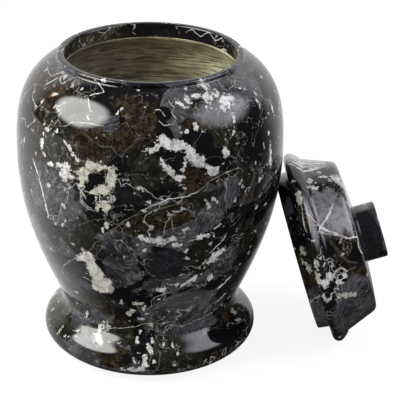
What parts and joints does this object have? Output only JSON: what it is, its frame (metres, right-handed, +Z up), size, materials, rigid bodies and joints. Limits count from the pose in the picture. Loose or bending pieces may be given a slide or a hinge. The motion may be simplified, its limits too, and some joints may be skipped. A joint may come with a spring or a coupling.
{
  "type": "cremation urn",
  "caption": "Lathe-turned marble cremation urn, hollow, with a bulging foot, a wide belly and a thin collar, and its knobbed lid lifted off and leaning on the belly.",
  "frame": {"origin": "centre of the flat underside of the urn's foot", "axes": "+Z up along the urn's axis, out of its mouth; the lid leans on the urn's +X side, standing 4.7 degrees round from +X towards +Y; the front that is seen faces -Y"},
  "size_m": [0.2771, 0.194, 0.23],
  "materials": {
    "polished_marble": "polished near-black marble with grey, olive and cream patches and fine pale veins, left rough and tool-marked inside the chamber"
  },
  "bodies": {
    "root": {"urn_body": "polished_marble", "lid": "polished_marble"}
  },
  "joints": []
}
